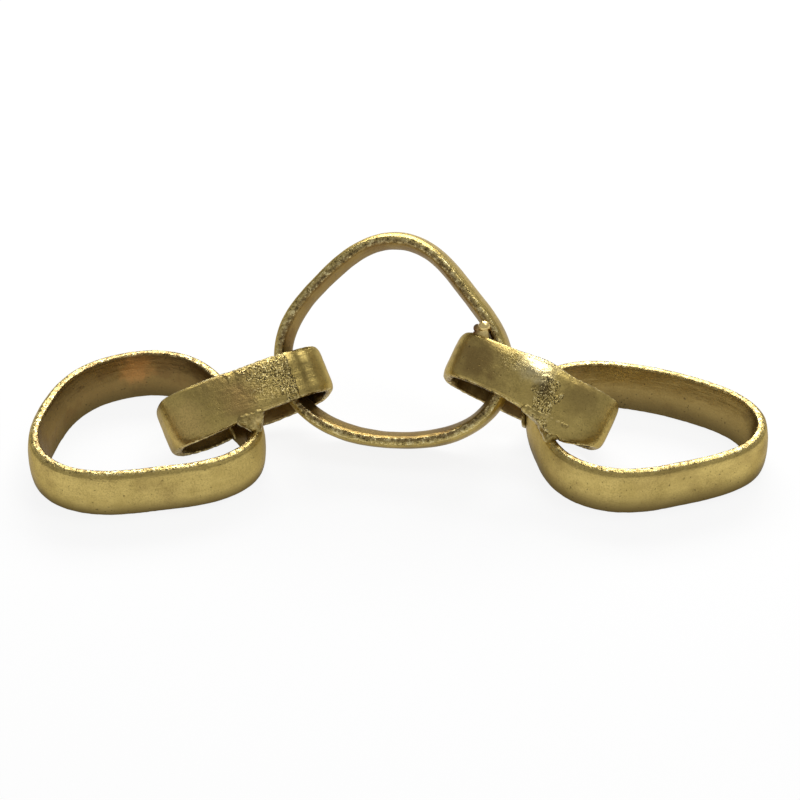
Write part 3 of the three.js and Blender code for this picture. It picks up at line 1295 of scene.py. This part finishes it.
@dataclass(frozen=True)
class CastBrass(Brass):
    """Satin cast brass with ground rims, darker, browner inner faces that are partly painted shade, and
    painted shade at the foot.

    Tones first, then the shares in which they are laid on, roughness, and bump depths in metres.
    """

    gold: Colour = (0.665, 0.507, 0.166)
    olive: Colour = (0.5, 0.374, 0.112)
    brown: Colour = (0.215, 0.132, 0.043)
    bright: Colour = (0.9, 0.76, 0.38)
    pit: Colour = (0.07, 0.05, 0.02)
    shadow: Colour = (0.2, 0.14, 0.045)
    foot_shade: Colour = (0.13, 0.09, 0.03)
    edge_tint: Colour = (0.55, 0.5, 0.42)
    olive_share: float = 0.7
    brown_share: float = 0.35
    shadow_share: float = 0.4
    rim_share: float = 0.1
    grain_pit_share: float = 0.6
    pit_share: float = 0.9
    ground: Span = Span(0.25, 0.75)
    rough_strip: Span = Span(0.05, 0.5)
    rim_roughness: float = 0.27
    grain_roughness: float = 0.1
    pit_roughness: float = 0.3
    polish_gain: float = 0.2
    crag_scale: float = 2.4
    crag_gain: float = 1.3
    streak_gain: float = 0.35
    grain_depth: float = 0.00028
    grain_strength: float = 0.8
    grit_depth: float = 0.0006
    grit_strength: float = 1.0

    def material(self, name: str, effects: Effects, band: Band) -> bpy.types.Material:
        """Make the finish of one band.

        Args:
            name: Name of the material.
            effects: The shared node groups.
            band: The band, whose stance turns the streaks.

        Returns:
            The new material.
        """
        made, nodes, shader, place = self.begin(name)
        surface = self.surface(nodes, effects, band, place)
        colour = self.metal(nodes, band, surface)
        # Patches of another tone: real stains, painted shade and painted light.
        for toned_patch in band.stains_and_painted_light:
            colour = nodes.mix(toned_patch.mask(nodes, effects, place), colour, toned_patch.tone)
        # Painted highlight: the polished patch is also painted pale, where the top lamp catches the weld
        # lump.
        if band.polish_and_highlight:
            colour = nodes.mix(surface.polish_and_highlight, colour, band.polish_and_highlight.tone)
        nodes.feed(shader.inputs["Base Color"], self.shaded_and_worn(nodes, band, surface, colour))
        nodes.feed(shader.inputs["Roughness"], self.gloss(nodes, surface))
        nodes.feed(shader.inputs["Normal"], self.relief(nodes, surface))
        shader.inputs["Specular Tint"].default_value = (*self.edge_tint, 1.0)
        return made

    def surface(
        self, nodes: Nodes, effects: Effects, band: Band, place: bpy.types.NodeSocket
    ) -> CastSurface:
        """Place the shared groups and find where the band is ground, rough or pitted.

        Args:
            nodes: The material's nodes.
            effects: The shared node groups.
            band: The band.
            place: Object coordinates.

        Returns:
            The sockets that the rest of the finish reads.
        """
        turn = tuple(band.stance.euler())
        upright = nodes.add("Mapping", vector_type="TEXTURE", Vector=place, Rotation=turn).outputs[0]
        finer = nodes.add("Mapping", Vector=place, Scale=(self.crag_scale,) * 3).outputs[0]
        grain = nodes.add("Group", node_tree=effects.grain, Place=place)
        grit = nodes.add("Group", node_tree=effects.grit, Place=place)
        crags = nodes.add("Group", node_tree=effects.grit, Place=finer)
        rim, inner, seam = (
            nodes.add("Attribute", attribute_name=mark.value).outputs["Fac"]
            for mark in (Mark.RIM, Mark.INNER, Mark.STRIP)
        )
        ground = nodes.ramp(rim, *self.ground)
        strip = nodes.ramp(seam, *self.rough_strip)
        for patch in band.gritty:
            strip = nodes.most(strip, patch.mask(nodes, effects, place))
        rim_tips = nodes.times(ground, grit.outputs["Tips"])
        rim_pits = nodes.times(ground, grit.outputs["Pits"])
        hollows = nodes.most(rim_pits, nodes.times(strip, crags.outputs["Hollows"]))
        return CastSurface(
            place=place,
            inner=inner,
            ground=ground,
            strip=strip,
            streak=nodes.add("Group", node_tree=effects.streaks, Place=upright).outputs["Streak"],
            tips=nodes.most(rim_tips, nodes.times(strip, crags.outputs["Peaks"])),
            pits=nodes.most(hollows, nodes.times(grain.outputs["Pits"], self.grain_pit_share)),
            grain=grain,
            grit=grit,
            crags=crags,
            tarnish=nodes.add("Group", node_tree=effects.tarnish, Place=place),
            polish_and_highlight=band.polish_and_highlight.mask(nodes, effects, place) if band.polish_and_highlight else None,
        )

    def metal(self, nodes: Nodes, band: Band, surface: CastSurface) -> bpy.types.NodeSocket:
        """Colour of the plain metal: gold with olive clouds and streaks, and brown on the inner face,
        partly its own tone and partly painted shade inside the ring.

        Args:
            nodes: The material's nodes.
            band: The band.
            surface: Sockets of the band's surface.

        Returns:
            The colour.
        """
        clouded = nodes.times(surface.tarnish.outputs["Olive"], self.olive_share)
        colour = nodes.mix(clouded, self.gold, self.olive)
        colour = nodes.mix(nodes.times(surface.streak, band.streaked), colour, self.olive)
        browned = nodes.times(surface.tarnish.outputs["Brown"], self.brown_share)
        # The inner face goes brown, partly as its own tone and partly as painted shade inside the ring.
        shade = nodes.plus(nodes.times(surface.inner, band.inner_brown_and_shade), browned)
        return nodes.mix(nodes.math("MINIMUM", shade, 1.0), colour, self.brown)

    def shaded_and_worn(
        self, nodes: Nodes, band: Band, surface: CastSurface, colour: bpy.types.NodeSocket
    ) -> bpy.types.NodeSocket:
        """Paint shade at the foot, over the floor, then darken the colour in specks and in pits and
        brighten it on ground tips.

        Args:
            nodes: The material's nodes.
            band: The band.
            surface: Sockets of the band's surface.
            colour: Colour of the metal with its stains, painted shade and painted highlight.

        Returns:
            The finished colour.
        """
        # Painted shade: the colour darkens towards the floor, up to the band's foot height.
        above_floor = nodes.add("SeparateXYZ", Vector=surface.place).outputs["Z"]
        colour = nodes.mix(nodes.ramp(above_floor, band.foot * MM, 0.0), colour, self.foot_shade)
        specks = nodes.times(surface.grain.outputs["Speckle"], self.shadow_share)
        colour = nodes.mix(specks, colour, self.shadow)
        colour = nodes.mix(nodes.times(surface.ground, self.rim_share), colour, self.bright)
        colour = nodes.mix(surface.tips, colour, self.bright)
        return nodes.mix(nodes.times(surface.pits, self.pit_share), colour, self.pit)

    def gloss(self, nodes: Nodes, surface: CastSurface) -> bpy.types.NodeSocket:
        """Roughness: smoother on ground metal and polished patches, rougher in pits.

        Args:
            nodes: The material's nodes.
            surface: Sockets of the band's surface.

        Returns:
            The roughness.
        """
        grainy = nodes.times(surface.grain.outputs["Height"], self.grain_roughness)
        rough = nodes.plus(grainy, self.roughness - self.grain_roughness / 2)
        worn = nodes.most(surface.ground, surface.strip)
        rough = nodes.ramp(worn, 0.0, 1.0, rough, self.rim_roughness)
        rough = nodes.plus(rough, nodes.times(surface.pits, self.pit_roughness))
        if surface.polish_and_highlight is None:
            return rough
        return nodes.math("SUBTRACT", rough, nodes.times(surface.polish_and_highlight, self.polish_gain))

    def relief(self, nodes: Nodes, surface: CastSurface) -> bpy.types.NodeSocket:
        """Fine relief: grain and streaks all over, grit on the rims and the rough strip.

        Args:
            nodes: The material's nodes.
            surface: Sockets of the band's surface.

        Returns:
            The normal.
        """
        streaked = nodes.times(surface.streak, self.streak_gain)
        grain = nodes.add(
            "Bump",
            Height=nodes.plus(surface.grain.outputs["Height"], streaked),
            Distance=self.grain_depth,
            Strength=self.grain_strength,
        )
        rim = nodes.times(surface.ground, surface.grit.outputs["Height"])
        strip = nodes.times(surface.strip, surface.crags.outputs["Height"])
        grit = nodes.add(
            "Bump",
            Height=nodes.plus(rim, nodes.times(strip, self.crag_gain)),
            Distance=self.grit_depth,
            Strength=self.grit_strength,
            Normal=grain.outputs[0],
        )
        return grit.outputs[0]


@dataclass(frozen=True)
class WeldBrass(Brass):
    """Rough weld metal, darker in its hollows."""

    coat: float = 0.15
    gold: Colour = (0.42, 0.32, 0.105)
    dark: Colour = (0.17, 0.11, 0.04)
    bright: Colour = (0.78, 0.63, 0.27)
    brown_share: float = 0.6
    pit_share: float = 0.7
    tip_share: float = 0.6
    dullness: float = 0.1
    grit_depth: float = 0.0005
    grit_strength: float = 0.9

    def material(self, name: str, effects: Effects, stains_and_painted_light: tuple[TonedPatch, ...]) -> bpy.types.Material:
        """Make the finish of the welds.

        Args:
            name: Name of the material.
            effects: The shared node groups.
            stains_and_painted_light: Patches of another tone: painted highlights, and burnt patches on
                the braze.

        Returns:
            The new material.
        """
        made, nodes, shader, place = self.begin(name)
        grit = nodes.add("Group", node_tree=effects.grit, Place=place)
        tarnish = nodes.add("Group", node_tree=effects.tarnish, Place=place)
        tips = grit.outputs["Tips"]
        colour = nodes.mix(nodes.times(tarnish.outputs["Brown"], self.brown_share), self.gold, self.dark)
        colour = nodes.mix(nodes.times(grit.outputs["Pits"], self.pit_share), colour, self.dark)
        colour = nodes.mix(nodes.times(tips, self.tip_share), colour, self.bright)
        for toned_patch in stains_and_painted_light:
            colour = nodes.mix(toned_patch.mask(nodes, effects, place), colour, toned_patch.tone)
        rough = nodes.ramp(tips, 0.0, 1.0, self.roughness + self.dullness, self.roughness)
        relief = nodes.add(
            "Bump",
            Height=grit.outputs["Height"],
            Distance=self.grit_depth,
            Strength=self.grit_strength,
        )
        nodes.feed(shader.inputs["Base Color"], colour)
        nodes.feed(shader.inputs["Roughness"], rough)
        nodes.feed(shader.inputs["Normal"], relief.outputs[0])
        return made


def on_sphere(bearing: float, height: float, distance: float) -> Vector:
    """Point round the origin.

    Args:
        bearing: Direction from the front, in degrees.
        height: Angle above the floor, in degrees.
        distance: Distance from the origin.

    Returns:
        The point, in the unit of the distance.
    """
    turn, rise = math.radians(bearing), math.radians(height)
    flat = math.cos(rise) * distance
    return Vector((math.sin(turn) * flat, -math.cos(turn) * flat, math.sin(rise) * distance))


@dataclass(frozen=True)
class Lamp:
    """A soft rectangular lamp aimed at the sculpture. Degrees, metres, watts."""

    name: str
    bearing: float
    height: float
    distance: float
    width: float
    depth: float
    power: float

    def build(self) -> None:
        """Make the lamp."""
        data = bpy.data.lights.new(self.name, "AREA")
        data.shape = "RECTANGLE"
        data.size = self.width
        data.size_y = self.depth
        data.energy = self.power
        lamp = bpy.data.objects.new(self.name, data)
        lamp.location = on_sphere(self.bearing, self.height, self.distance)
        lamp.rotation_euler = lamp.location.to_track_quat("Z", "Y").to_euler()
        bpy.context.scene.collection.objects.link(lamp)


@dataclass(frozen=True)
class Studio:
    """Pale floor, soft lamps, dim surroundings and the camera. Metres, degrees."""

    aim: tuple[float, float, float] = (0.0006, 0.0425, 0.0)
    camera_height: float = 35.5
    camera_distance: float = 1.3585
    lens: float = 108.0
    sensor: float = 36.0
    floor_half: float = 9.0
    floor_colour: Colour = (0.86, 0.86, 0.86)
    black: Colour = (0.0, 0.0, 0.0)
    white: Colour = (1.0, 1.0, 1.0)
    seen_glow: float = 0.88
    mirrored_glow: float = 0.6
    horizon: float = 0.18
    mid_height: float = 0.48
    overhead: float = 0.3
    low_sky: tuple[float, float] = (0.02, 0.35)
    high_sky: tuple[float, float] = (0.55, 0.95)
    lamps: tuple[Lamp, ...] = (
        Lamp("back_softbox", bearing=176, height=39, distance=1.5, width=1.3, depth=0.6, power=26.0),
        Lamp("top_lamp", bearing=98, height=70, distance=1.4, width=0.6, depth=0.5, power=4.4),
    )

    def build(self) -> None:
        """Make everything that is not the sculpture."""
        self.build_floor()
        self.build_world()
        self.build_camera()
        for lamp in self.lamps:
            lamp.build()
        bpy.context.scene.view_settings.view_transform = "Standard"

    def build_floor(self) -> None:
        """Make the floor: pale, white to the eye, and still showing the shadow."""
        mesh = bmesh.new()
        bmesh.ops.create_grid(mesh, x_segments=1, y_segments=1, size=self.floor_half)
        floor = as_object(mesh, "floor")
        made = bpy.data.materials.new("pale_floor")
        made.use_nodes = True
        nodes = Nodes(made.node_tree)
        tree = made.node_tree
        tree.nodes.remove(tree.nodes["Principled BSDF"])
        path = nodes.add("LightPath")
        mirrored = nodes.most(path.outputs["Is Glossy Ray"], path.outputs["Is Transmission Ray"])
        seen = nodes.times(path.outputs["Is Camera Ray"], self.seen_glow)
        glow = nodes.most(seen, nodes.times(mirrored, self.mirrored_glow))
        lit = nodes.add("BsdfDiffuse", Color=(*self.floor_colour, 1.0))
        white = nodes.add("Emission", Color=(*self.white, 1.0), Strength=1.0)
        both = nodes.add("MixShader")
        nodes.feed(both.inputs[0], glow)
        nodes.feed(both.inputs[1], lit.outputs[0])
        nodes.feed(both.inputs[2], white.outputs[0])
        nodes.feed(tree.nodes["Material Output"].inputs["Surface"], both.outputs[0])
        floor.data.materials.append(made)

    def build_world(self) -> None:
        """Make surroundings that are dim at the horizon and overhead, and paler between."""
        world = bpy.data.worlds.new("studio")
        bpy.context.scene.world = world
        world.use_nodes = True
        nodes = Nodes(world.node_tree)
        direction = nodes.add("TexCoord").outputs["Generated"]
        up = nodes.add("SeparateXYZ", Vector=direction).outputs["Z"]
        low = nodes.ramp(up, *self.low_sky, self.horizon, self.mid_height)
        high = nodes.ramp(up, *self.high_sky, 0.0, self.overhead - self.mid_height)
        shell = world.node_tree.nodes["Background"]
        nodes.feed(shell.inputs["Color"], nodes.mix(nodes.plus(low, high), self.black, self.white))

    def build_camera(self) -> None:
        """Make the camera."""
        data = bpy.data.cameras.new("camera")
        data.lens = self.lens
        data.sensor_width = self.sensor
        camera = bpy.data.objects.new("camera", data)
        back = on_sphere(0.0, self.camera_height, self.camera_distance)
        camera.location = Vector(self.aim) + back
        camera.rotation_euler = (math.radians(90 - self.camera_height), 0.0, 0.0)
        bpy.context.scene.collection.objects.link(camera)
        bpy.context.scene.camera = camera


@dataclass
class Sculpture:
    """The whole chain: three rings, two links and eight welds. Millimetres, degrees."""

    flat_wall: Section = Section(
        band=27.4,
        edge=4.8,
        outer_crown=1.8,
        inner_crown=2.8,
        outer_power=2.2,
        inner_power=1.3,
        outer_round=2.6,
        inner_round=1.3,
        skirt=1.3,
    )
    centre_wall: Section = Section(
        band=27.4,
        edge=4.8,
        outer_crown=1.8,
        inner_crown=2.8,
        outer_power=2.0,
        inner_power=1.5,
        outer_round=2.2,
        inner_round=1.9,
    )
    left_link_wall: Section = Section(
        band=26.2,
        edge=4.0,
        outer_crown=1.7,
        inner_crown=1.1,
        outer_power=7.0,
        inner_power=2.0,
        outer_round=1.2,
        inner_round=1.3,
    )
    right_link_wall: Section = Section(
        band=26.2,
        edge=4.0,
        outer_crown=1.7,
        inner_crown=1.1,
        outer_power=6.0,
        inner_power=2.0,
        outer_round=1.3,
        inner_round=1.3,
    )
    left_plan: RingOutline = RingOutline(
        radius=57.3,
        oval=1.2,
        oval_bearing=-7.0,
        corner=4.9,
        corner_bearing=-21.8,
        flat=1.4,
        flat_bearing=-26.0,
        wave=0.7,
        wave_bearing=-8.8,
    )
    centre_plan: RingOutline = RingOutline(
        radius=56.6,
        oval=3.2,
        oval_bearing=-8.5,
        corner=4.1,
        corner_bearing=-27.5,
        flat=1.2,
        flat_bearing=-2.0,
    )
    right_plan: RingOutline = RingOutline(
        radius=54.4,
        oval=6.5,
        oval_bearing=-13.8,
        corner=4.7,
        corner_bearing=2.0,
        flat=1.0,
        flat_bearing=-25.0,
        wave=0.9,
        wave_bearing=-4.4,
    )
    link_plan: LinkOutline = LinkOutline(length=87.6, width=42.6, squareness=3.5)
    left_seam: Seam = Seam(
        turn=0.847,
        width=0.03,
        spread=4.0,
        sharp=0.3,
        lump=0.5,
        lump_turn=0.83,
        lump_width=0.04,
        lump_rise=0.9,
        lump_reach=0.4,
        droops=(Droop(turn=0.61, width=0.12, depth=3.0), Droop(turn=0.37, width=0.08, depth=2.5)),
        crease=0.5,
        crease_turn=0.888,
    )
    right_seam: Seam = Seam(
        turn=0.778,
        width=0.03,
        spread=0.3,
        sharp=1.2,
        lump=2.4,
        lump_turn=0.75,
        lump_width=0.05,
        lump_rise=0.62,
        lump_reach=0.28,
        lift=1.8,
        droops=(Droop(turn=0.86, width=0.09, depth=5.0), Droop(turn=0.84, width=0.06, depth=3.5)),
        grit_rise=0.6,
    )
    ring_fineness: Fineness = Fineness(steps=560, wall_cuts=36, rim_cuts=6)
    link_fineness: Fineness = Fineness(steps=400, wall_cuts=34, rim_cuts=5)
    link_casting: Casting = Casting(ripple=0.11, ripple_span=4.2)
    link_streaked: float = 0.6
    plain_welds: tuple[str, ...] = (
        "left_inner_weld",
        "left_outer_weld",
        "right_inner_weld",
        "right_outer_weld",
        "left_tack_weld",
    )
    beads: tuple[Bead, ...] = (
        Bead(bearing=18.7, inset=3.4, proud=1.2, radius=3.2),
        Bead(bearing=20.2, inset=7.0, proud=-0.2, radius=2.2),
    )
    cast: CastBrass = CastBrass()
    weld: WeldBrass = WeldBrass()
    # Painted highlights on the two webs.
    weld_glints: tuple[TonedPatch, ...] = (
        TonedPatch((-76.8, -23.0, 31.5), 3.6, 0.7, (0.8, 0.63, 0.26)),
        TonedPatch((81.5, -29.5, 38.5), 5.0, 0.6, (0.8, 0.63, 0.26)),
    )
    braze: WeldBrass = WeldBrass(
        roughness=0.24,
        gold=(0.62, 0.46, 0.16),
        dark=(0.4, 0.27, 0.09),
        bright=(0.8, 0.62, 0.26),
        grit_depth=0.00005,
    )
    # Painted highlight on the first bead; the burnt tone is the bead's own.
    bead_highlight: Colour = (1.0, 0.78, 0.34)
    bead_burnt: Colour = (0.14, 0.05, 0.015)

    def rings(self) -> dict[str, Ring]:
        """Describe the three rings.

        Returns:
            The rings by the side that they are on.
        """
        return {
            "left": Ring(
                node="left_ring",
                section=self.flat_wall,
                outline=self.left_plan,
                stance=Stance(),
                fineness=self.ring_fineness,
                stains_and_painted_light=(TonedPatch((-148.4, 46.0, 19.0), 10.0, 0.8, (0.5, 0.25, 0.075)),),
                # foot: height of the painted shade over the floor, here and in the rings below.
                foot=12.0,
                # Share of brown on the inner face, partly painted shade inside the ring, here and in the
                # rings below.
                inner_brown_and_shade=0.88,
            ),
            "centre": Ring(
                node="centre_ring",
                section=self.centre_wall,
                outline=self.centre_plan,
                stance=Stance(lean=55.4, yaw=-9.0),
                fineness=self.ring_fineness,
                foot=9.0,
                inner_brown_and_shade=0.78,
            ),
            "right": Ring(
                node="right_ring",
                section=self.flat_wall,
                outline=self.right_plan,
                stance=Stance(),
                fineness=self.ring_fineness,
                foot=16.0,
                inner_brown_and_shade=0.62,
            ),
        }

    def links(self) -> dict[str, Link]:
        """Describe the two links.

        Returns:
            The links by the side that they are on.
        """
        return {
            "left": Link(
                node="left_link",
                section=self.left_link_wall,
                outline=self.link_plan,
                stance=Stance(lean=-49.4, pitch=-6.7, yaw=24.0),
                fineness=self.link_fineness,
                casting=self.link_casting,
                seam=self.left_seam,
                stains_and_painted_light=(
                    # Painted shade with some brown tone: a darker patch over the upper face.
                    TonedPatch((-95.0, -10.0, 50.0), 20.0, 0.5, (0.2, 0.135, 0.05)),
                    TonedPatch((-84.0, -17.0, 43.0), 11.0, 0.6, (0.27, 0.165, 0.06)),
                    # Painted light: a paler gold patch on the lower left of the face.
                    TonedPatch((-113.0, -27.0, 33.0), 13.0, 0.85, (0.72, 0.52, 0.18)),
                    # Painted shade: a darker patch on the right bend, where the top lamp shines.
                    TonedPatch((-52.9, 1.2, 48.7), 10.0, 0.85, (0.24, 0.178, 0.052)),
                ),
                gritty=(Patch((-71.0, -9.0, 48.5), 13.0, 0.5),),
                streaked=self.link_streaked,
            ),
            "right": Link(
                node="right_link",
                section=self.right_link_wall,
                outline=self.link_plan,
                stance=Stance(lean=-47.0, pitch=20.4, yaw=-15.3),
                fineness=self.link_fineness,
                casting=self.link_casting,
                seam=self.right_seam,
                stains_and_painted_light=(
                    # Painted shade: a darker brown patch over the left end.
                    TonedPatch((41.0, -6.0, 61.0), 15.0, 0.8, (0.25, 0.16, 0.055)),
                    TonedPatch((98.0, -18.5, 46.0), 13.0, 0.8, (0.33, 0.235, 0.075)),
                    # Painted shade: a dark patch in the crease under the weld lump.
                    TonedPatch((76.5, -18.5, 51.0), 5.5, 0.9, (0.11, 0.075, 0.028)),
                ),
                # Painted highlight: a pale patch on the weld lump, which the finish also makes smoother.
                polish_and_highlight=TonedPatch((74.5, -9.0, 60.0), 11.0, 0.95, (0.92, 0.78, 0.42)),
                gritty=(Patch((61.0, -7.0, 62.5), 8.0, 0.5),),
                streaked=self.link_streaked,
            ),
        }

    def welds(self) -> list[Weld]:
        """Describe the eight welds. The web on the right is the fullest.

        Returns:
            Five plain welds, the two webs and the braze.
        """
        lumpy = {"lump": 0.55, "lump_span": 2.6, "grit": 0.2, "fuse": 0.1}
        return [
            *(Weld(node, fuse=0.15) for node in self.plain_welds),
            Web("left_rim_weld", rim_reach=(-2.0, 3.0), edge_reach=(-9.0, 3.0), **lumpy),
            Web(
                "right_rim_weld",
                rim_reach=(-16.0, 1.0),
                edge_reach=(-18.0, 5.0),
                rows=18,
                thick=2.6,
                rim_thick=3.3,
                **lumpy,
            ),
            Braze("right_braze", voxel=0.3, soften=2, fuse=0.1, lump=0.05, grit=0.0, beads=self.beads),
        ]

    def build(self, packed: dict[str, bpy.types.Object]) -> None:
        """Make and dress every piece.

        Args:
            packed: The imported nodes' objects by name.
        """
        effects = Effects()
        rings, links = self.rings(), self.links()
        for side, band in [*rings.items(), *links.items()]:
            piece = band.build()
            if isinstance(band, Link):
                band.part(piece, rings[side])
            self.dress(piece, self.cast.material(f"{band.node}_brass", effects, band))
        weld_finish = self.weld.material("weld_brass", effects, self.weld_glints)
        for weld in self.welds():
            finish = weld_finish
            side = weld.node.partition("_")[0]
            if isinstance(weld, Web):
                body = weld.fill(rings[side], links[side])
            elif isinstance(weld, Braze):
                body = weld.fill(rings["centre"], links[side])
                glints = weld.glints(rings["centre"], self.bead_highlight, self.bead_burnt)
                finish = self.braze.material("braze_brass", effects, glints)
            else:
                body = weld.body(packed[weld.node])
            self.dress(weld.build(body), finish)

    def dress(self, piece: bpy.types.Object, finish: bpy.types.Material) -> None:
        """Give a piece its finish and report it.

        Args:
            piece: The piece.
            finish: Its material.
        """
        piece.data.materials.clear()
        piece.data.materials.append(finish)
        LOG.info("%s: %d faces", piece.name, len(piece.data.polygons))


def corners(bounds: Iterable[Iterable[float]]) -> list[list[float]]:
    """Plain lists of the two corners of a box."""
    return [[float(number) for number in corner] for corner in bounds]


def main() -> None:
    """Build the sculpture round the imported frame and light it."""
    logging.basicConfig(level=logging.INFO, format="%(name)s: %(message)s")
    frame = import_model()
    Sculpture().build(frame["nodes"])
    Studio().build()


if __name__ == "__main__":
    main()
